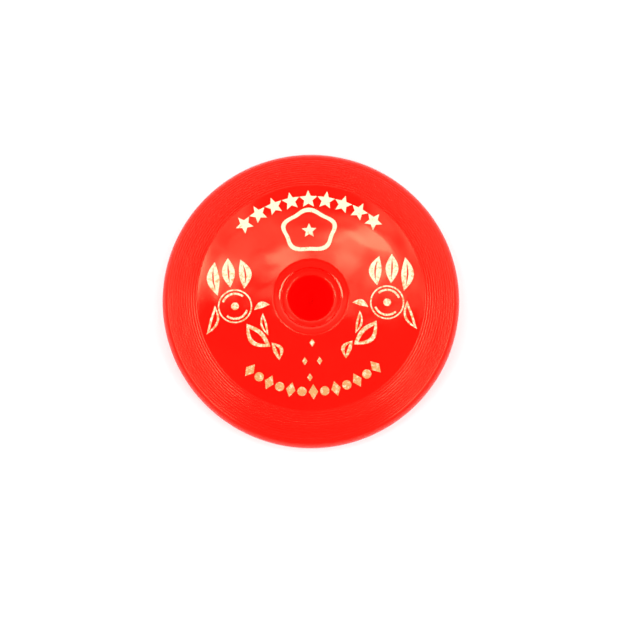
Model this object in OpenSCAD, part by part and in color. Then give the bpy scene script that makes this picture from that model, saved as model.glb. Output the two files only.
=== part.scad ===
// Flying disc: one thin moulding with a ridged shoulder and a cup at its centre,
// and a print of gold film marks laid on its flat plate. Millimetres, +Z up.
// The origin is on the disc's axis, in the plane that the rim's foot rests on.

/* [Disc] */
// Overall diameter of the moulding
disc_d = 235; // [195:1:285]
// Height from the rim's foot to the top of the plate
disc_h = 28; // [23:0.5:34]
// Thickness of the plate, the shoulder and the cup
wall = 2.2; // [1.6:0.1:2.8]

/* [Rim] */
// Thickness of the rim at its foot
rim_t = 3.4; // [2.8:0.1:5]
// Radial width of the rounded edge outside the shoulder
edge_w = 5; // [3.5:0.1:6]
// Rounding of the foot's corners
foot_round = 1; // [0.5:0.1:1.2]
// How far the rim leans in from its widest point to its foot
rim_lean = 0.7; // [0:0.1:1.2]

/* [Shoulder] */
// Number of ridges round the shoulder
ridges = 12; // [6:1:15]
// Distance from one ridge to the next
ridge_pitch = 1.9; // [1.5:0.05:2.3]
// Height of a ridge above the grooves beside it
ridge_h = 0.3; // [0.1:0.05:0.5]
// Plain margin at each side of the ridges
ridge_margin = 0.35; // [0.2:0.05:0.6]
// Slope of the shoulder where it meets the plate, in degrees
slope_in = 5; // [3:0.5:8]
// Slope of the shoulder where the rounded edge starts, in degrees
slope_out = 30; // [22:0.5:34]
// Rounding of the inner corner where the shoulder turns down into the rim
corner_round = 3; // [2:0.1:4]

/* [Cup] */
// Diameter of the sharp edge round the cup's mouth
lip_d = 47.6; // [38:0.2:58]
// Radial width of the dished lip between that edge and the plate
dish_w = 7.2; // [5:0.2:9]
// Slope of the dished lip at the sharp edge, in degrees
dish_slope = 30; // [20:1:34]
// Height of the step under the sharp edge
step_h = 2; // [1.5:0.1:2.5]
// Radial width of that step
step_w = 0.7; // [0.5:0.1:1]
// Rounding of the step's two corners
step_round = 0.5; // [0.3:0.1:0.6]
// Radial width of the ledge below the step, with the well's rounded edge
ledge_w = 5.8; // [5:0.1:8]
// How far the ledge falls towards the well
ledge_fall = 0.3; // [0.1:0.1:0.6]
// Rounding of the well's edge
well_round = 5; // [3:0.1:5.5]
// How much smaller the well's radius is at its floor
well_taper = 2; // [1:0.1:3]
// Depth of the well's floor below the plate
well_depth = 18.5; // [15:0.5:20.5]
// Rounding round the well's floor
floor_round = 4; // [2:0.1:5]
// Diameter of the dimple round the moulding's gate
gate_dimple_d = 12.6; // [8:0.2:15]
// Depth of that dimple
gate_dimple = 0.4; // [0.2:0.1:0.6]
// Radial width of the dimple's sloping side
dimple_side = 1; // [0.6:0.1:1.4]
// Diameter of the gate's stub
gate_d = 4.4; // [3:0.2:5]
// Height of the stub above the dimple's floor
gate_h = 0.5; // [0.2:0.1:0.8]
// Radial width of the stub's sloping side
gate_side = 0.4; // [0.2:0.1:0.6]

/* [Print] */
// Thickness of the gold film
film_t = 0.08; // [0.05:0.01:0.2]
// How far the whole print is turned from square, in degrees
print_turn = 1.5; // [-5:0.5:5]
// Number of stars in the upper arc
stars = 9; // [5:1:11]
// Angle from one star to the next
star_step = 10.2; // [10:0.1:12]
// Radius of a star's points
star_r = 7.4; // [5:0.1:7.4]
// Radius of the notches between those points, as a share of it
star_waist = 0.46; // [0.38:0.01:0.6]
// Number of marks in the lower arc
marks = 13; // [7:1:15]
// Angle from one of those marks to the next
mark_step = 6.8; // [6.6:0.1:7.5]
// Width of the lower arc's lozenges
mark_w = 7.4; // [5:0.1:8]
// Height of the lower arc's lozenges
mark_h = 12; // [8:0.2:13]
// Radius of the lower arc's spots
spot_r = 3.6; // [2.5:0.1:3.8]
// Width of the lozenges below the cup
pip_w = 4.2; // [3:0.1:5]
// Height of the lozenges below the cup
pip_h = 6.2; // [4:0.1:8]
// Width of the emblem's outline
emblem_w = 43; // [38:0.5:46]
// Height of the emblem's outline
emblem_h = 35; // [30:0.5:37]
// Width of the line that draws it
emblem_line = 3.2; // [2:0.1:4]
// Radius of the points of the star inside it
emblem_star_r = 6; // [4:0.1:9]
// Outer radius of each side ring
ring_r = 13.6; // [13:0.1:14]
// Width of the line that draws a side ring
ring_line = 1.1; // [0.8:0.1:1.6]
// Outer radius of the broken ring inside it
broken_r = 10.9; // [8:0.1:11.2]
// Width of the line that draws the broken ring
broken_line = 1.6; // [1:0.1:2]
// Angle that each half of the broken ring runs through
broken_turn = 110; // [80:5:150]
// Radius of the dot at the middle of a side ring
dot_r = 3; // [2:0.1:5]

/* [Hidden] */
$fn = 96;

disc_r = disc_d / 2;
shoulder_w = ridges * ridge_pitch + 2 * ridge_margin;
shoulder_r = disc_r - edge_w;                // where the rounded edge starts
plate_r = shoulder_r - shoulder_w;           // edge of the flat plate
lip_r = lip_d / 2;
dish_r = lip_r + dish_w;                     // edge of the flat plate at the cup
lip_z = disc_h - dish_w / 2 * tan(dish_slope);
ledge_r = lip_r - step_w;
well_r = ledge_r - ledge_w;
floor_z = disc_h - well_depth;

// Corners of the plate and the cup, from the shoulder to the axis, with the rounding of
// each corner between the ends and how much the rounding grows on the underside. The
// dish's own rounding takes up dish_share of its width on each side of its corner.
dish_share = 0.42;
CUP = [
    [plate_r, disc_h],
    [lip_r + dish_w / 2, disc_h],
    [lip_r, lip_z],
    [ledge_r, lip_z - step_h],
    [well_r, lip_z - step_h - ledge_fall],
    [well_r - well_taper, floor_z],
    [0, floor_z]
];
ROUNDS = [dish_share * dish_w / tan(dish_slope / 2), step_round, step_round, well_round, floor_round];
UNDER_ROUNDS = ROUNDS + [-1.5 * wall, 0, step_round, -wall, wall];

// The shoulder is an arc whose slope runs from slope_in to slope_out.
arc_r = shoulder_w / (sin(slope_out) - sin(slope_in));
arc_x = plate_r - arc_r * sin(slope_in);
arc_z = disc_h - arc_r * cos(slope_in);

// The rounded edge carries on from the shoulder's slope to the vertical.
edge_r = edge_w / (1 - sin(slope_out));
edge_x = disc_r - edge_r;
edge_z = arc_z + arc_r * cos(slope_out) - edge_r * cos(slope_out);

// The marks are drawn for a plate that reaches from drawn_in to drawn_out round the axis.
// film() scales and shifts them to fit the real plate between the dish and the shoulder.
drawn_in = 30;
drawn_out = 89;
art = (plate_r - dish_r) / (drawn_out - drawn_in);

// Where the marks lie on the drawn plate.
STARS_AT = 77.6;
MARKS_AT = 74.5;
EMBLEM_AT = [0, 52];
RING_AT = [59, -6];
PIPS = [[0, -35.5], [-6, -50], [5.4, -50], [-2.4, -63]];

// Where each half of the broken ring starts, in degrees.
BROKEN_FROM = [20, 200];

// How much of a leaf's length is solid before its slit starts, at each end.
leaf_tip = 0.14;

// How deep the emblem's five lobes are, as a share of its radius.
lobe = 0.07;

// Leaves round a ring, each as where it starts and ends, how far it bends, how wide it is
// and how much of that width the slit along its middle takes.
LEAVES = [
    [[-13.6, 9], [-15.5, 36], 2.5, 10, 0.14],
    [[-3.5, 15.4], [-5, 39], 0.5, 10.2, 0.14],
    [[7.5, 14], [5, 37.5], -2.5, 10, 0.14],
    [[-16, 1], [-23, -22], 3, 7, 0.5],
    [[15.2, -3.4], [27.6, 0.6], 2, 5, 0],
    [[9, -14.5], [27.5, -33], -2.5, 13, 0.5],
    [[22, -6], [26, -24], -1.5, 5, 0.4],
    [[28.5, -30], [34, -44], 2.5, 8, 0.3]
];

function numbered(name, n) = [for (i = [1:n]) str(name, "_", i)];

SIDES = ["left", "right"];

// ---- Curves ----

// Points of an arc round c, from angle a to angle b in n steps.
function arc(c, r, a, b, n) = [for (i = [0:n]) let (t = a + (b - a) * i / n) c + r * [cos(t), sin(t)]];

function unit(v) = v / norm(v);

// Points that round the corner p between its neighbours with radius r.
function rounded(before, p, after, r, n) =
    let (u = unit(before - p), v = unit(after - p))
    let (half = acos(u * v) / 2)
    let (c = p + unit(u + v) * r / sin(half))
    let (from = p + u * r / tan(half) - c, to = p + v * r / tan(half) - c)
    let (a = atan2(from[1], from[0]), turn = atan2(from[0] * to[1] - from[1] * to[0], from * to))
    arc(c, r, a, a + turn, n);

// Where the line through a and b meets the line through c and d.
function crossing(a, b, c, d) =
    let (u = b - a, v = d - c, w = c - a)
    a + u * (w[0] * v[1] - w[1] * v[0]) / (u[0] * v[1] - u[1] * v[0]);

// The side from a to b, moved by t to its left.
function beside_line(a, b, t) = let (u = unit(b - a)) [a + t * [-u[1], u[0]], b + t * [-u[1], u[0]]];

// The corners of a path that runs t to the left of the path p.
function moved(p, t) =
    let (last = len(p) - 1, sides = [for (i = [0:last - 1]) beside_line(p[i], p[i + 1], t)])
    [for (i = [0:last])
        i == 0 ? sides[0][0] :
        i == last ? sides[last - 1][1] :
        crossing(sides[i - 1][0], sides[i - 1][1], sides[i][0], sides[i][1])];

// The path p with its inner corners rounded by the radii r.
function rounded_path(p, r, n) =
    [p[0], for (i = [1:len(p) - 2]) each rounded(p[i - 1], p[i], p[i + 1], r[i - 1], n), p[len(p) - 1]];

// ---- Moulding ----

// The shoulder's top, a wave of grooves cut into its arc, which leaves the ridges between them.
function ridge_line() =
    let (n = ridges * 6)
    [for (i = [0:n])
        let (x = plate_r + ridge_margin + ridges * ridge_pitch * i / n)
        let (t = asin((x - arc_x) / arc_r), dip = ridge_h * (1 - cos(360 * ridges * i / n)) / 2)
        [arc_x + (arc_r - dip) * sin(t), arc_z + (arc_r - dip) * cos(t)]];

// The half section's top line, from the rim's foot inwards to the gate on the axis.
function top_line() =
    let (cup = rounded_path(CUP, ROUNDS, 8), ridge = ridge_line(), last = len(ridge) - 1)
    let (dimple_z = floor_z - gate_dimple)
    concat(
        rounded([disc_r - rim_t, 0], [disc_r - rim_lean, 0], [disc_r, edge_z], foot_round, 5),
        arc([edge_x, edge_z], edge_r, 0, 90 - slope_out, 12),
        [for (i = [0:last]) ridge[last - i]],
        [for (i = [0:len(cup) - 2]) cup[i]],
        [[gate_dimple_d / 2, floor_z], [gate_dimple_d / 2 - dimple_side, dimple_z]],
        [[gate_d / 2, dimple_z], [gate_d / 2 - gate_side, dimple_z + gate_h], [0, dimple_z + gate_h]]
    );

// The underside, a wall below the top line, from the axis out to the rim's inner foot. The
// shoulder's arc stops short of the inner corner, by the angle that its rounding takes.
function under_line() =
    let (in_r = disc_r - rim_lean - rim_t, under_r = arc_r - wall)
    let (meet_t = asin((in_r - arc_x) / under_r), near_t = meet_t - asin(1.6 * corner_round / under_r))
    let (meet = [in_r, arc_z + under_r * cos(meet_t)])
    let (before = [arc_x + under_r * sin(near_t), arc_z + under_r * cos(near_t)])
    let (cup = rounded_path(moved(CUP, wall), UNDER_ROUNDS, 8), last = len(cup) - 1)
    concat(
        [for (i = [0:last - 1]) cup[last - i]],
        arc([arc_x, arc_z], under_r, 90 - slope_in, 90 - near_t, 12),
        rounded(before, meet, [in_r, 0], corner_round, 6),
        rounded([in_r, edge_z], [in_r, 0], [disc_r - rim_lean, 0], foot_round, 5)
    );

module disc_moulding() {
    color("red") rotate_extrude() polygon(concat(top_line(), under_line()));
}

// ---- Print ----

// How far out the place at on the drawn plate lies on the real one.
function out(at) = dish_r + (norm(at) - drawn_in) * art;

// How much larger a mark at that place is than it is drawn: the share that its distance
// from the axis or from the dish took, whichever is less, so neighbours keep their gaps.
function share(at) = min(art, out(at) / norm(at));

// Lays a flat mark on the plate as a piece of film. The mark is drawn round at, a place on
// the drawn plate, which keeps its bearing and takes its share of the real plate's width.
module film(at) {
    color("gold") translate([0, 0, disc_h]) rotate(print_turn) translate(unit(at) * out(at))
        linear_extrude(film_t) scale(share(at)) children();
}

// A place at radius r and an angle clockwise from the far side.
function bearing(r, a) = r * [sin(a), cos(a)];

module star_shape(r) {
    polygon([for (i = [0:9]) bearing(i % 2 == 0 ? r : r * star_waist, 36 * i)]);
}

module star(i) {
    turn = (i - (stars + 1) / 2) * star_step;
    film(bearing(STARS_AT, turn)) rotate(-turn) star_shape(star_r);
}

// The emblem's outline with its five lobes, drawn w inside its edge.
function lobed(w) =
    [for (t = [0:6:354]) (1 + lobe * cos(5 * t - 90)) * [(emblem_w / 2 - w) * cos(t), (emblem_h / 2 - w) * sin(t)]];

module emblem_outline() {
    film(EMBLEM_AT) difference() {
        polygon(lobed(0));
        polygon(lobed(emblem_line));
    }
}

module emblem_star() {
    film(EMBLEM_AT) star_shape(emblem_star_r);
}

// Draws a mark of the right-hand side, or its mirror image on the left.
module beside(side) {
    film([side * RING_AT[0], RING_AT[1]]) mirror([side < 0 ? 1 : 0, 0]) children();
}

module ring(side) {
    beside(side) difference() {
        circle(ring_r);
        circle(ring_r - ring_line);
    }
}

// Two arcs inside the ring.
module broken_ring(side) {
    beside(side) for (from = BROKEN_FROM) rotate(from) polygon(concat(
        arc([0, 0], broken_r, 0, broken_turn, 10),
        arc([0, 0], broken_r - broken_line, broken_turn, 0, 10)
    ));
}

module dot(side) {
    beside(side) circle(dot_r);
}

// A blade from a to b that swells to width w in its middle and bends sideways. Its ends
// stop short by the share trim of its length.
function blade(a, b, bend, w, trim) =
    let (along = b - a, across = [-along[1], along[0]] / norm(along))
    [for (t = [0:0.1:1.9])
        let (k = t <= 1 ? t : 2 - t, side = t <= 1 ? 1 : -1, s = trim + (1 - 2 * trim) * k)
        a + along * s + across * (bend * 4 * s * (1 - s) + side * w / 2 * sin(180 * k))];

// A leaf with a slit along its middle.
module leaf(side, i) {
    f = LEAVES[i - 1];
    beside(side) mirror([1, 0]) difference() {
        polygon(blade(f[0], f[1], f[2], f[3], 0));
        if (f[4] > 0) polygon(blade(f[0], f[1], f[2], f[3] * f[4], leaf_tip));
    }
}

// A lozenge w wide and h high.
module lozenge(w, h) {
    polygon([[w / 2, 0], [0, h / 2], [-w / 2, 0], [0, -h / 2]]);
}

module pip(i) {
    film(PIPS[i - 1]) lozenge(pip_w, pip_h);
}

// The lower arc's marks take turns as lozenges and round spots.
module mark(i) {
    turn = 180 - (i - (marks + 1) / 2) * mark_step;
    film(bearing(MARKS_AT, turn)) rotate(-turn) {
        if (i % 2 == 1) lozenge(mark_w, mark_h);
        else circle(spot_r);
    }
}

disc_moulding();
emblem_outline();
emblem_star();
for (i = [1:stars]) {
    star(i);
}
for (i = [0, 1]) {
    side = 2 * i - 1;
    ring(side);
    broken_ring(side);
    dot(side);
    for (k = [1:len(LEAVES)]) {
        leaf(side, k);
    }
}
for (i = [1:len(PIPS)]) {
    pip(i);
}
for (i = [1:marks]) {
    mark(i);
}
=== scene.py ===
"""A moulded flying disc with a print of gold film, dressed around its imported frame.

The frame gives the disc's box, the film marks and their places. This file turns the
moulding anew as a fine surface of revolution, and gives the plastic and the film their
finishes. Lengths are in metres, and angles are in radians.
"""
import logging
import math
from dataclasses import dataclass
from enum import Enum
from typing import Any, ClassVar, Sequence, Union

import bpy
import numpy as np
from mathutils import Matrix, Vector


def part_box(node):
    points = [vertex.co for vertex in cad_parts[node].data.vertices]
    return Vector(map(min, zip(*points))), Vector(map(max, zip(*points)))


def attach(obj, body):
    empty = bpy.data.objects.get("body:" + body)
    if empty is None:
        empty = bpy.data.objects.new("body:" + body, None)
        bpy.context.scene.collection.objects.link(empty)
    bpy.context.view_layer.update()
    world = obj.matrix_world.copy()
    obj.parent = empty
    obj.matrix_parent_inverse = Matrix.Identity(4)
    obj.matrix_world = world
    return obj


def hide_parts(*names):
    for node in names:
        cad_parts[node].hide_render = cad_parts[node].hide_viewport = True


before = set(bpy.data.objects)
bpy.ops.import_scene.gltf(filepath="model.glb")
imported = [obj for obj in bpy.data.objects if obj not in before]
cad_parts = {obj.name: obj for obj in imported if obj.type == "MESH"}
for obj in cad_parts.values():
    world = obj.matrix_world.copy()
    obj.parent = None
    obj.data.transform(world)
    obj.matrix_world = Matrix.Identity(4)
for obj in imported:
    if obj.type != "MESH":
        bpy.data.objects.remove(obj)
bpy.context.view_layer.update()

MM = 0.001
TINY = 0.001  # keeps a division off zero
LOG = logging.getLogger("flying_disc")

Colour = tuple[float, float, float, float]
Link = Union["Value", bpy.types.NodeSocket, float, Sequence[float]]


class Sum(Enum):
    """What a Math node works out."""

    ADD = "ADD"
    SUBTRACT = "SUBTRACT"
    MULTIPLY = "MULTIPLY"
    DIVIDE = "DIVIDE"
    POWER = "POWER"
    LARGER = "MAXIMUM"


class Space(Enum):
    """Which coordinates a pattern reads: the object's own, or the direction looked in."""

    OBJECT = "Object"
    DIRECTION = "Generated"


class Side(Enum):
    """A side of the studio, as the sign of x."""

    LEFT = -1
    RIGHT = 1


# ---------------------------------------------------------------- shader maths


class Value:
    """A number from a shader socket, on which Python's operators add Math nodes."""

    def __init__(self, graph: "Graph", socket: bpy.types.NodeSocket) -> None:
        """Wraps a socket.

        Args:
            graph: the graph that owns the socket.
            socket: an output that carries a number.
        """
        self.graph = graph
        self.socket = socket

    def _math(self, kind: Sum, *terms: Link) -> "Value":
        """Adds one Math node and returns its result."""
        return self.graph.node("ShaderNodeMath", {"operation": kind.value}, dict(enumerate(terms))).out()

    def __add__(self, other: Link) -> "Value":
        """self + other."""
        return self._math(Sum.ADD, self, other)

    __radd__ = __add__

    def __sub__(self, other: Link) -> "Value":
        """self - other."""
        return self._math(Sum.SUBTRACT, self, other)

    def __rsub__(self, other: Link) -> "Value":
        """other - self."""
        return self._math(Sum.SUBTRACT, other, self)

    def __mul__(self, other: Link) -> "Value":
        """self * other."""
        return self._math(Sum.MULTIPLY, self, other)

    __rmul__ = __mul__

    def __truediv__(self, other: Link) -> "Value":
        """self / other."""
        return self._math(Sum.DIVIDE, self, other)

    def __rtruediv__(self, other: Link) -> "Value":
        """other / self."""
        return self._math(Sum.DIVIDE, other, self)

    def __pow__(self, other: Link) -> "Value":
        """self to the power of other."""
        return self._math(Sum.POWER, self, other)

    def __rpow__(self, other: Link) -> "Value":
        """other to the power of self."""
        return self._math(Sum.POWER, other, self)

    def at_least(self, least: float) -> "Value":
        """self, or least where self is lower."""
        return self._math(Sum.LARGER, self, least)

    def step(self, low: float, high: float) -> "Value":
        """A smooth step.

        Args:
            low: where the step starts at 0.
            high: where it reaches 1. Below low, the step falls instead of rising.

        Returns:
            0 before low, 1 past high, and a smooth S between them.
        """
        settings = {"interpolation_type": "SMOOTHSTEP"}
        falls = high < low
        inputs = {"Value": self, "From Min": min(low, high), "From Max": max(low, high)}
        inputs |= {"To Min": 1.0 if falls else 0.0, "To Max": 0.0 if falls else 1.0}
        return self.graph.node("ShaderNodeMapRange", settings, inputs).out()

    def band(self, low: float, high: float, soft: float) -> "Value":
        """1 between low and high, falling to 0 over soft at either side."""
        return self.step(low - soft, low + soft) * self.step(high + soft, high - soft)


@dataclass
class Made:
    """A node that a graph made, and its graph."""

    graph: "Graph"
    node: bpy.types.Node

    def out(self, name: Union[str, int] = 0) -> Value:
        """One of the node's outputs as a Value."""
        return Value(self.graph, self.node.outputs[name])


class Graph:
    """The node tree of a material or of the world, emptied and filled anew."""

    def __init__(self, owner: Union[bpy.types.Material, bpy.types.World],
                 space: Space = Space.OBJECT) -> None:
        """Empties the owner's tree.

        Args:
            owner: the material or world.
            space: the coordinates that its patterns read.
        """
        self.owner = owner
        owner.use_nodes = True
        self.tree = owner.node_tree
        self.tree.nodes.clear()
        self.place = self.node("ShaderNodeTexCoord").node.outputs[space.value]

    def node(self, kind: str, settings: dict[str, Any] | None = None,
             inputs: dict[Union[str, int], Link] | None = None) -> Made:
        """Adds any node.

        Args:
            kind: the node's type, such as ShaderNodeMath.
            settings: properties to set first, such as a Math node's operation.
            inputs: values or links, by the socket's name or number.

        Returns:
            The new node.
        """
        node = self.tree.nodes.new(kind)
        for key, value in (settings or {}).items():
            setattr(node, key, value)
        for key, value in (inputs or {}).items():
            socket = value.socket if isinstance(value, Value) else value
            if isinstance(socket, bpy.types.NodeSocket):
                self.tree.links.new(socket, node.inputs[key])
            else:
                node.inputs[key].default_value = socket
        return Made(self, node)

    def noise(self, scale: float, detail: float = 2.0, rough: float = 0.5, warp: float = 0.0,
              stretch: Sequence[float] = (1.0, 1.0, 1.0)) -> Value:
        """Cloudy noise.

        Args:
            scale: how many lumps there are to a metre.
            detail: how many finer layers it has.
            rough: how strong the finer layers are.
            warp: how far it is folded into itself.
            stretch: how much closer its lumps lie along each axis.

        Returns:
            A value about 0.5.
        """
        mapped = self.node("ShaderNodeMapping", {}, {"Vector": self.place, "Scale": stretch})
        inputs = {"Vector": mapped.node.outputs[0], "Scale": scale, "Detail": detail}
        inputs |= {"Roughness": rough, "Distortion": warp}
        return self.node("ShaderNodeTexNoise", {}, inputs).out("Fac")

    def axes(self) -> tuple[Value, Value, Value]:
        """The object's own x, y and z."""
        split = self.node("ShaderNodeSeparateXYZ", {}, {0: self.place})
        return split.out("X"), split.out("Y"), split.out("Z")

    def radius(self) -> Value:
        """The distance from the object's z axis."""
        x, y, _ = self.axes()
        return (x * x + y * y) ** 0.5

    def blend(self, share: Link, first: Link, second: Link) -> bpy.types.NodeSocket:
        """A colour mixed from two.

        Args:
            share: how much of the second colour there is.
            first: the colour at share 0.
            second: the colour at share 1.

        Returns:
            The mixed colour's socket.
        """
        inputs = {"Factor": share, 6: first, 7: second}
        return self.node("ShaderNodeMix", {"data_type": "RGBA"}, inputs).node.outputs[2]

    def bump(self, height: Link, depth: float, under: Link | None = None) -> bpy.types.NodeSocket:
        """A normal bent by a height.

        Args:
            height: the height, from 0 to 1.
            depth: how deep a height of 1 is.
            under: the normal that this one lies on, if any.

        Returns:
            The normal's socket.
        """
        inputs = {"Height": height, "Distance": depth}
        if under is not None:
            inputs["Normal"] = under
        return self.node("ShaderNodeBump", {}, inputs).node.outputs[0]

    def principled(self, **inputs: Link) -> bpy.types.NodeSocket:
        """Adds a Principled shader.

        Args:
            inputs: its sockets' values or links, with _ for a space in a socket's name.

        Returns:
            The shader's socket.
        """
        named = {key.replace("_", " "): value for key, value in inputs.items()}
        return self.node("ShaderNodeBsdfPrincipled", {}, named).node.outputs[0]

    def finish(self, surface: bpy.types.NodeSocket) -> bpy.types.Material:
        """Puts a shader on the material's output and gives the material."""
        self.node("ShaderNodeOutputMaterial", {}, {"Surface": surface})
        return self.owner


# ---------------------------------------------------------------- finishes


@dataclass(frozen=True)
class RedPlastic:
    """Moulded polythene: satin outside the plate's radius, glossy inside it, matt in the well,
    where its red is painted brighter to stand in for light that shines through the plastic.

    plate_edge is the plate's radius and well_mouth the radius of the well's mouth. The change
    to the matt red with its painted glow is centred well_inset inside the mouth. plate_soft and
    well_soft are how far each change runs on either side of its centre.
    """

    plate_edge: float
    well_mouth: float
    well_inset: float = 0.3 * MM
    plate_soft: float = 0.4 * MM
    well_soft: float = 1.5 * MM
    colour: Colour = (0.88, 0.0030, 0.0012, 1.0)
    deep: Colour = (0.80, 0.0018, 0.0008, 1.0)
    # painted glow: a brighter red than the plate's, standing in for light that shines through the plastic
    # into the well
    matt_glow: Colour = (0.97, 0.0012, 0.0010, 1.0)
    warmth: Colour = (1.0, 1.0, 0.55, 1.0)
    gloss: float = 0.25
    refraction: float = 1.5
    plate_rough: float = 0.035
    satin_rough: float = 0.23
    matt_rough: float = 0.9
    streaks: tuple[float, float] = (0.3, 0.7)
    uneven: float = 0.03
    swell_share: float = 0.8
    swell_depth: float = 0.3 * MM
    scuff_depth: float = 0.0006 * MM

    def material(self) -> bpy.types.Material:
        """Builds the material.

        The melt's flow lines vary its colour and gloss, gentle swells cross the plate and
        fade out near its edge, and fine scuffs cover all of it. In the well, a brighter matt red
        is painted glow, standing in for light that shines through the plastic.

        Returns:
            The finished material.
        """
        g = Graph(bpy.data.materials.new("red_moulded_plastic"))
        r = g.radius()
        flow = g.noise(scale=22, detail=3, rough=0.55, warp=0.6)
        scuff = g.noise(scale=900, detail=4, rough=0.65)
        wave = g.noise(scale=16, detail=2, rough=0.5, warp=0.4)
        wave = wave * r.step(self.plate_edge, self.swell_share * self.plate_edge)
        on_plate = r.step(self.plate_edge + self.plate_soft, self.plate_edge - self.plate_soft)
        well_edge = self.well_mouth - self.well_inset
        in_well = r.step(well_edge + self.well_soft, well_edge - self.well_soft)
        base = g.blend(flow.step(*self.streaks), self.deep, self.colour)
        rough = self.satin_rough + on_plate * (self.plate_rough - self.satin_rough)
        rough = rough + (flow - 0.5) * self.uneven
        normal = g.bump(scuff, self.scuff_depth, g.bump(wave, self.swell_depth))
        glossy = g.principled(Base_Color=base, Roughness=rough, Normal=normal, IOR=self.refraction,
                              Specular_IOR_Level=self.gloss, Specular_Tint=self.warmth)
        # painted glow in the well: its red is brighter than the plate's, standing in for light shining
        # through the plastic
        matt_glow = g.principled(Base_Color=self.matt_glow, Roughness=self.matt_rough, Normal=normal,
                            Specular_IOR_Level=0.0)
        return g.finish(g.node("ShaderNodeMixShader", {}, {0: in_well, 1: glossy, 2: matt_glow}).node.outputs[0])


@dataclass(frozen=True)
class GoldFilm:
    """Hot-stamped gold film: half metallic, slightly crinkled, tarnished and worn in specks,
    with painted shade that makes it more bronze towards the near side.

    The tarnish turns it to bronze in flecks, and lean is how much more bronze there is for
    each metre towards the near side: painted shade, standing in for the darker reflections
    that the film shows there. Where it is worn, the plastic shows. tarnish_and_shade and wear
    are where in the noise they start and where they are full.
    """

    colour: Colour = (1.0, 0.90, 0.60, 1.0)
    bronze: Colour = (0.78, 0.37, 0.13, 1.0)
    plastic: Colour = (0.70, 0.02, 0.01, 1.0)
    rough: float = 0.24
    worn_rough: float = 0.44
    shine: float = 0.45
    tarnish_and_shade: tuple[float, float] = (0.42, 0.66)
    wear: tuple[float, float] = (0.60, 0.66)
    # painted shade: how much more bronze the film turns for each metre towards the near side, standing in
    # for darker reflections there
    lean: float = 2.2
    crinkle: float = 0.6 * MM

    def material(self) -> bpy.types.Material:
        """Builds the material.

        Returns:
            The finished material.
        """
        g = Graph(bpy.data.materials.new("gold_film"))
        _, y, _ = g.axes()
        cloud = g.noise(scale=420, detail=3, rough=0.65, warp=0.3)
        # bronze flecks of real tarnish, plus painted shade that grows towards the near side
        tarnish_and_shade = (cloud - y * self.lean).step(*self.tarnish_and_shade)
        worn = g.noise(scale=1400, detail=4, rough=0.7).step(*self.wear)
        base = g.blend(worn, g.blend(tarnish_and_shade, self.colour, self.bronze), self.plastic)
        metal = (1.0 - worn) * self.shine
        rough = self.rough + worn * (self.worn_rough - self.rough)
        normal = g.bump(g.noise(scale=240, detail=3, rough=0.6, warp=0.5), self.crinkle)
        return g.finish(g.principled(Base_Color=base, Metallic=metal, Roughness=rough, Normal=normal))


# ---------------------------------------------------------------- geometry


def arc(centre: Sequence[float], radius: float, start: float, stop: float, count: int) -> np.ndarray:
    """Points of an arc: centre + radius * (cos t, sin t), for t from start to stop.

    Args:
        centre: the arc's centre in the half plane, as radius and height.
        radius: the arc's radius.
        start: the first angle.
        stop: the last angle.
        count: how many points there are.

    Returns:
        The points, one row each.
    """
    t = np.linspace(start, stop, count)
    return np.asarray(centre) + radius * np.stack([np.cos(t), np.sin(t)], axis=1)


def rounded(before: Sequence[float], corner: Sequence[float], after: Sequence[float],
            radius: float, count: int) -> np.ndarray:
    """A corner rounded by the arc that touches both of its sides.

    The arc's centre lies on the corner's bisector, at radius / sin(half the corner's
    angle) from it, and the arc meets each side at radius / tan(half that angle).

    Args:
        before: the outline's point before the corner.
        corner: the corner.
        after: the point after it.
        radius: the rounding's radius.
        count: how many points the arc has.

    Returns:
        The arc's points in order.
    """
    before, corner, after = (np.asarray(p, dtype=float) for p in (before, corner, after))
    u = (before - corner) / np.linalg.norm(before - corner)
    v = (after - corner) / np.linalg.norm(after - corner)
    half = math.acos(float(np.clip(u @ v, -1, 1))) / 2
    centre = corner + (u + v) / np.linalg.norm(u + v) * radius / math.sin(half)
    first = corner + u * radius / math.tan(half) - centre
    last = corner + v * radius / math.tan(half) - centre
    start = math.atan2(first[1], first[0])
    turn = math.atan2(first[0] * last[1] - first[1] * last[0], first @ last)
    return arc(centre, radius, start, start + turn, count)


def refined(line: np.ndarray, step: float, guard: float) -> np.ndarray:
    """A polyline whose long sides are cut up, so that smooth shading keeps them straight.

    A side longer than twenty guards gets a short piece of one guard at each end, and
    its middle is cut into equal parts no longer than step.

    Args:
        line: the polyline's points, one row each.
        step: the longest part.
        guard: the length of the short piece at each end.

    Returns:
        The new points.
    """
    long_side = 20 * guard
    parts = [line[:1]]
    for start, end in zip(line[:-1], line[1:]):
        length = float(np.linalg.norm(end - start))
        share = np.ones(1)
        if length > long_side:
            near = guard / length
            share = np.append(np.linspace(near, 1 - near, math.ceil(length / step) + 1), 1)
        parts.append(start + (end - start) * share[:, None])
    return np.concatenate(parts)


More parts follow.
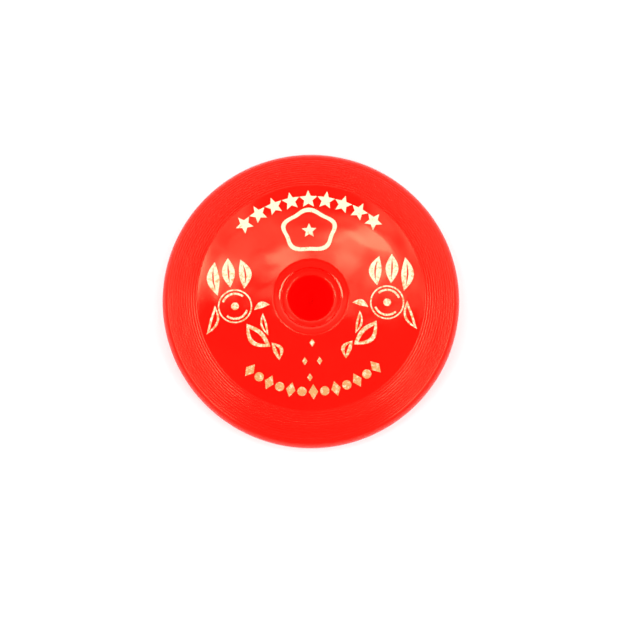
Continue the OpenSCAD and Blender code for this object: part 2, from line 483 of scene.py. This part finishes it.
def lathe(name: str, profile: np.ndarray, count: int) -> bpy.types.Object:
    """A closed solid of revolution about z.

    The point at (r, z) of the profile goes to (r cos a, r sin a, z), for each angle a.
    The profile starts and ends on the axis, where its end points become single poles.

    Args:
        name: the new object's name.
        profile: radius and height, from the top pole to the bottom pole.
        count: how many steps go round.

    Returns:
        The object, shaded smooth.
    """
    ring = profile[1:-1]
    a = np.arange(count) * (2 * np.pi / count)
    around = np.stack([np.cos(a), np.sin(a)], axis=1)
    xy = ring[:, None, :1] * around[None]
    z = np.broadcast_to(ring[:, None, 1:], xy.shape[:2] + (1,))
    poles = np.array([[0, 0, profile[0, 1]], [0, 0, profile[-1, 1]]])
    points = np.concatenate([np.concatenate([xy, z], axis=2).reshape(-1, 3), poles])
    rows, top = len(ring), len(ring) * count
    i = np.arange(rows - 1)[:, None] * count
    j = np.arange(count)[None]
    k = (j + 1) % count
    quads = np.stack([i + j, i + count + j, i + count + k, i + k], axis=2).reshape(-1, 4)
    j, k = j[0], k[0]
    last = (rows - 1) * count
    first_cap = np.stack([np.full(count, top), j, k], axis=1)
    last_cap = np.stack([np.full(count, top + 1), last + k, last + j], axis=1)
    mesh = bpy.data.meshes.new(name)
    mesh.from_pydata(points.tolist(), [], quads.tolist() + first_cap.tolist() + last_cap.tolist())
    mesh.validate()
    mesh.shade_smooth()
    made = bpy.data.objects.new(name, mesh)
    bpy.context.scene.collection.objects.link(made)
    return made


def moved(path: np.ndarray, shift: float) -> np.ndarray:
    """A path that runs beside another, at a distance shift to its left.

    Each side moves along its own normal, and each new corner is where two moved sides
    meet: the old corner plus shift times the sum of the two normals over 1 + their dot
    product.

    Args:
        path: the corners of the first path.
        shift: how far to the left the new one runs.

    Returns:
        The new path's corners.
    """
    side = np.diff(path, axis=0)
    side /= np.linalg.norm(side, axis=1, keepdims=True)
    normal = np.stack([-side[:, 1], side[:, 0]], axis=1)
    before = np.concatenate([normal[:1], normal])
    after = np.concatenate([normal, normal[-1:]])
    return path + shift * (before + after) / (1 + np.sum(before * after, axis=1, keepdims=True))


def rounded_path(path: np.ndarray, radii: Sequence[float], counts: Sequence[int]) -> np.ndarray:
    """A path whose inner corners are rounded by the radii, each with its count of points."""
    corners = zip(path[:-2], path[1:-1], path[2:], radii, counts)
    return np.concatenate([path[:1], *(rounded(*corner) for corner in corners), path[-1:]])


@dataclass
class Moulding:
    """The one-piece moulding: plate, ridged shoulder, rounded edge, rim and cup.

    From the outside in, the cup has a dish that slopes down to a sharp lip, a small step,
    a ledge and a round well, with the mark of the mould's gate in a dimple on its floor.
    The counts are how many points each of the cup's five roundings has. Underneath, the
    shoulder's arc ends corner_share times corner_round before the rim's inner corner, which
    leaves room for the corner's rounding.
    """

    NODE: ClassVar[str] = "disc_moulding"

    radius: float
    height: float
    wall: float = 2.2 * MM
    rim_thickness: float = 3.4 * MM
    edge_width: float = 5 * MM
    foot_round: float = 1 * MM
    rim_lean: float = 0.7 * MM
    ridges: int = 12
    ridge_pitch: float = 1.9 * MM
    ridge_height: float = 0.3 * MM
    ridge_margin: float = 0.35 * MM
    slope_in: float = math.radians(5)
    slope_out: float = math.radians(30)
    lip_radius: float = 23.8 * MM
    dish_width: float = 7.2 * MM
    dish_slope: float = math.radians(30)
    dish_share: float = 0.42
    dish_shrink: float = 1.5
    step_height: float = 2 * MM
    step_width: float = 0.7 * MM
    step_round: float = 0.5 * MM
    ledge_width: float = 5.8 * MM
    ledge_fall: float = 0.3 * MM
    well_round: float = 5 * MM
    well_taper: float = 2 * MM
    well_depth: float = 18.5 * MM
    floor_round: float = 4 * MM
    dimple_radius: float = 6.3 * MM
    dimple_depth: float = 0.4 * MM
    dimple_side: float = 1 * MM
    gate_radius: float = 2.2 * MM
    gate_height: float = 0.5 * MM
    gate_side: float = 0.4 * MM
    corner_round: float = 3 * MM
    corner_share: float = 1.6
    steps_round: int = 400
    steps_ridge: int = 6
    top_counts: tuple[int, ...] = (15, 7, 7, 9, 7)
    under_counts: tuple[int, ...] = (9, 6, 6, 7, 7)
    longest: float = 12 * MM
    guard: float = 0.12 * MM

    def __post_init__(self) -> None:
        """Works out the shoulder's and the rounded edge's arcs, and the cup's corners and roundings.

        The dish's rounding takes up dish_share of its width on each side of its corner. On
        the underside, a wall below, a hollow corner's rounding grows and a full one's shrinks
        or stays, and the dish's shrinks by dish_shrink walls.
        """
        self.shoulder = self.radius - self.edge_width
        self.plate = self.shoulder - self.ridges * self.ridge_pitch - 2 * self.ridge_margin
        self.arc_r = (self.shoulder - self.plate) / (math.sin(self.slope_out) - math.sin(self.slope_in))
        self.arc_at = np.array([self.plate - self.arc_r * math.sin(self.slope_in),
                                self.height - self.arc_r * math.cos(self.slope_in)])
        self.edge_r = self.edge_width / (1 - math.sin(self.slope_out))
        rise = (self.arc_r - self.edge_r) * math.cos(self.slope_out)
        self.edge_at = np.array([self.radius - self.edge_r, self.arc_at[1] + rise])
        self.floor = self.height - self.well_depth
        lip_z = self.height - self.dish_width / 2 * math.tan(self.dish_slope)
        ledge = self.lip_radius - self.step_width
        self.well = ledge - self.ledge_width
        self.cup = np.array([
            [self.plate, self.height],
            [self.lip_radius + self.dish_width / 2, self.height],
            [self.lip_radius, lip_z],
            [ledge, lip_z - self.step_height],
            [self.well, lip_z - self.step_height - self.ledge_fall],
            [self.well - self.well_taper, self.floor],
            [0, self.floor],
        ])
        dish_round = self.dish_share * self.dish_width / math.tan(self.dish_slope / 2)
        self.rounds = np.array([dish_round, self.step_round, self.step_round,
                                self.well_round, self.floor_round])
        self.under_rounds = self.rounds + [-self.dish_shrink * self.wall, 0, self.step_round,
                                           -self.wall, self.wall]

    def build(self, finish: bpy.types.Material) -> bpy.types.Object:
        """Turns the profile into the moulding, which stands for the frame's plainer one.

        Args:
            finish: the plastic's material.

        Returns:
            The moulding.
        """
        section = np.concatenate([self.top_line(), self.under_line()])
        line = refined(section, self.longest, self.guard)
        made = lathe("moulded_disc", line, self.steps_round)
        made.data.materials.append(finish)
        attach(made, "root")
        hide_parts(self.NODE)
        return made

    def ridge_line(self) -> np.ndarray:
        """The ridged shoulder, from the plate outwards.

        A cosine wave of ridge_height, one ridge to a pitch, dips below the shoulder's arc.

        Returns:
            The points, one row each.
        """
        share = np.linspace(0, 1, self.ridges * self.steps_ridge + 1)
        x = self.plate + self.ridge_margin + self.ridges * self.ridge_pitch * share
        t = np.arcsin((x - self.arc_at[0]) / self.arc_r)
        dip = self.ridge_height * (1 - np.cos(2 * np.pi * self.ridges * share)) / 2
        return self.arc_at + (self.arc_r - dip)[:, None] * np.stack([np.sin(t), np.cos(t)], axis=1)

    def top_line(self) -> np.ndarray:
        """The half section's top, from the gate on the axis to the rim's foot.

        Returns:
            The points, one row each.
        """
        cup = rounded_path(self.cup, self.rounds, self.top_counts)[:-1][::-1]
        dimple = self.floor - self.dimple_depth
        stub = dimple + self.gate_height
        inner = self.radius - self.rim_thickness
        foot = [[self.radius, self.edge_at[1]], [self.radius - self.rim_lean, 0], [inner, 0]]
        return np.concatenate([
            [[0, stub], [self.gate_radius - self.gate_side, stub], [self.gate_radius, dimple]],
            [[self.dimple_radius - self.dimple_side, dimple], [self.dimple_radius, self.floor]],
            cup,
            self.ridge_line(),
            arc(self.edge_at, self.edge_r, math.pi / 2 - self.slope_out, 0, count=12),
            rounded(*foot, self.foot_round, count=5),
        ])

    def under_line(self) -> np.ndarray:
        """The underside, a wall below the top, from the rim's inner foot back to the axis.

        The shoulder's arc stops short of the inner corner, where the corner's rounding is.

        Returns:
            The points, one row each.
        """
        inner = self.radius - self.rim_lean - self.rim_thickness
        under_r = self.arc_r - self.wall
        meet_t = math.asin((inner - self.arc_at[0]) / under_r)
        near_t = meet_t - math.asin(self.corner_share * self.corner_round / under_r)
        meet, near = (self.arc_at + under_r * np.array([math.sin(t), math.cos(t)])
                      for t in (meet_t, near_t))
        lean = [self.radius - self.rim_lean, 0]
        return np.concatenate([
            rounded(lean, [inner, 0], [inner, self.edge_at[1]], self.foot_round, count=5),
            rounded([inner, 0], meet, near, self.corner_round, count=7),
            arc(self.arc_at, under_r, math.pi / 2 - near_t, math.pi / 2 - self.slope_in, count=10),
            rounded_path(moved(self.cup, self.wall), self.under_rounds, self.under_counts)[1:],
        ])


@dataclass(frozen=True)
class Print:
    """The print on the plate: every mark of film that the frame carries, dressed in one finish."""

    film: bpy.types.Material

    def dress(self) -> None:
        """Gives each mark the film's material and reports it."""
        for name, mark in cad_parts.items():
            if name != Moulding.NODE:
                mark.data.materials.clear()
                mark.data.materials.append(self.film)
                LOG.info("%s: dressed in %s", name, self.film.name)


# ---------------------------------------------------------------- studio


@dataclass(frozen=True)
class Softbox:
    """A long rectangular area light on one side, turned to face the disc.

    It stands reach to the side, near towards the near side, and height above the floor.
    """

    side: Side
    reach: float = 1.62
    near: float = 0.52
    height: float = 1.17
    size: tuple[float, float] = (2.1, 0.24)
    power: float = 31.0

    def build(self) -> bpy.types.Object:
        """Makes the light.

        Returns:
            The light's object.
        """
        data = bpy.data.lights.new(f"softbox_{self.side.name.lower()}", "AREA")
        data.shape = "RECTANGLE"
        data.size, data.size_y = self.size
        data.energy = self.power
        light = bpy.data.objects.new(data.name, data)
        light.location = (self.reach * self.side.value, -self.near, self.height)
        light.rotation_euler = (-light.location).to_track_quat("-Z", "Y").to_euler()
        bpy.context.scene.collection.objects.link(light)
        return light


@dataclass(frozen=True)
class Patch:
    """A soft bright patch of sky, placed by the tangents of its angles from straight up.

    width and depth are its half sizes, and light is what it adds at its middle.
    """

    across: float
    ahead: float
    width: float
    depth: float
    light: float


@dataclass(frozen=True)
class Surroundings:
    """A pale room, dim overhead and brighter on the far side, with a bright misty strip beyond.

    Places are tangents of the angles from straight up: across to the right, ahead to the
    far side. A pair of them is where a brightness starts to change and where it has changed.
    strip_ends are squares of across, and patch_edge counts in a patch's half sizes. far_turn
    holds sines of the turn from either side towards the far one, and horizon_heights holds
    sines of the angle above the floor. The strip's near edge is tilted, its far edge is
    bowed, and mist mottles and frays it.
    """

    walls: float = 0.66
    far_walls: float = 0.33
    far_sides: float = 1.1
    far_from: tuple[float, float] = (0.30, 0.60)
    far_turn: tuple[float, float] = (0.0, 0.5)
    horizon: float = 1.8
    horizon_heights: tuple[float, float] = (0.26, 0.50)
    horizon_soft: float = 0.04
    least_up: float = 0.02
    overhead: float = 0.42
    overhead_ahead: float = 0.02
    overhead_edge: tuple[float, float] = (0.11, 0.30)
    strip: float = 3.1
    strip_near: tuple[float, float] = (0.144, 0.168)
    strip_far: tuple[float, float] = (0.220, 0.196)
    strip_ends: tuple[float, float] = (0.03, 0.012)
    tilt: float = 0.08
    bow: float = 9.0
    mist_mean: float = 0.9
    mist: float = 4.6
    near_fray: float = 0.03
    far_fray: float = 0.04
    patch_edge: tuple[float, float] = (1.3, 0.1)
    patch_fray: float = 2.6
    patches: tuple[Patch, ...] = (
        Patch(0.037, 0.190, 0.030, 0.013, 17.0),
        Patch(-0.066, 0.172, 0.024, 0.018, 12.0),
        Patch(-0.016, 0.177, 0.014, 0.009, 12.0),
        Patch(0.024, 0.178, 0.018, 0.008, 7.0),
    )

    def build(self) -> bpy.types.World:
        """Makes the world.

        Returns:
            The world, lit by its own directions.
        """
        world = bpy.data.worlds.new("studio")
        g = Graph(world, Space.DIRECTION)
        x, y, z = g.axes()
        up = z.at_least(self.least_up)
        across, ahead = x / up, y / up
        cloud = g.noise(scale=95, detail=5, rough=0.72, warp=0.3, stretch=(0.75, 1, 1)) - 0.5
        middle = ahead - self.overhead_ahead
        away = (across * across + middle * middle) ** 0.5
        light = self.overhead + away.step(*self.overhead_edge) * (self.walls - self.overhead)
        light = light + self._far_side(x, y, z, away) + self._strip(across, ahead, cloud)
        for patch in self.patches:
            a, b = (across - patch.across) / patch.width, (ahead - patch.ahead) / patch.depth
            far = (a * a + b * b) ** 0.5 + cloud * self.patch_fray
            light = light + far.step(*self.patch_edge) * patch.light
        shader = g.node("ShaderNodeBackground", {}, {"Strength": light})
        g.node("ShaderNodeOutputWorld", {}, {"Surface": shader.node.outputs[0]})
        return world

    def _far_side(self, x: Value, y: Value, z: Value, away: Value) -> Value:
        """The light that the far side's walls add, more towards its corners and low down.

        Args:
            x: how far the direction points to the right.
            y: how far it points to the far side.
            z: how far it points up.
            away: its distance from the dim part overhead, as a tangent.

        Returns:
            The light, 0 on the near side.
        """
        flat = (x * x + y * y) ** 0.5 + TINY
        far, side = (y / flat).step(*self.far_turn), x * x / (flat * flat)
        low = z.band(*self.horizon_heights, self.horizon_soft) * self.horizon
        return far * (away.step(*self.far_from) * (self.far_walls + side * self.far_sides) + low)

    def _strip(self, across: Value, ahead: Value, cloud: Value) -> Value:
        """The light of the misty strip.

        Args:
            across: the place to the right.
            ahead: the place to the far side.
            cloud: the mist's noise, about 0.

        Returns:
            The light, 0 outside the strip.
        """
        near = (ahead + across * self.tilt + cloud * self.near_fray).step(*self.strip_near)
        far = (ahead - across * across * self.bow + cloud * self.far_fray).step(*self.strip_far)
        ends = (across * across).step(*self.strip_ends)
        return near * far * ends * self.strip * (self.mist_mean + cloud * self.mist)


@dataclass(frozen=True)
class Viewpoint:
    """The camera, on the near side of the disc, looking down at aim."""

    elevation: float = math.radians(81.5)
    distance: float = 1.30
    lens: float = 95.4
    sight: float = 20.0
    aim: tuple[float, float, float] = (-0.0007, -0.0082, 0.012)

    def build(self) -> bpy.types.Object:
        """Makes the camera and gives it to the scene.

        Returns:
            The camera's object.
        """
        data = bpy.data.cameras.new("camera")
        data.lens = self.lens
        data.clip_end = self.sight
        eye = bpy.data.objects.new("camera", data)
        back = Vector((0, -math.cos(self.elevation), math.sin(self.elevation)))
        eye.location = Vector(self.aim) + back * self.distance
        eye.rotation_euler = (-back).to_track_quat("-Z", "Y").to_euler()
        bpy.context.scene.collection.objects.link(eye)
        bpy.context.scene.camera = eye
        return eye


@dataclass(frozen=True)
class Floor:
    """A plain white floor, a hair below the disc's foot so that the two never coincide."""

    half: float = 3.0
    drop: float = 0.05 * MM
    colour: Colour = (0.94, 0.94, 0.94, 1.0)
    rough: float = 0.7

    def build(self) -> bpy.types.Object:
        """Makes the floor and stages it.

        Returns:
            The floor's object.
        """
        s, z = self.half, -self.drop
        mesh = bpy.data.meshes.new("floor")
        mesh.from_pydata([(-s, -s, z), (s, -s, z), (s, s, z), (-s, s, z)], [], [(0, 1, 2, 3)])
        made = bpy.data.objects.new("floor", mesh)
        g = Graph(bpy.data.materials.new("white_floor"))
        mesh.materials.append(g.finish(g.principled(Base_Color=self.colour, Roughness=self.rough)))
        bpy.context.scene.collection.objects.link(made)
        return made


def main() -> None:
    """Builds the disc, dresses its print and sets up the studio."""
    logging.basicConfig(level=logging.INFO, format="%(name)s: %(message)s")
    low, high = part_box(Moulding.NODE)
    moulding = Moulding(radius=(high[0] - low[0]) / 2, height=high[2])
    disc = moulding.build(RedPlastic(moulding.plate, moulding.well).material())
    LOG.info("%s: %d faces", disc.name, len(disc.data.polygons))
    Print(GoldFilm().material()).dress()
    stand = [Floor().build(), Viewpoint().build(), *(Softbox(side).build() for side in Side)]
    LOG.info("studio: %s", ", ".join(o.name for o in stand))
    bpy.context.scene.world = Surroundings().build()
    bpy.context.scene.view_settings.view_transform = "Standard"


if __name__ == "__main__":
    main()
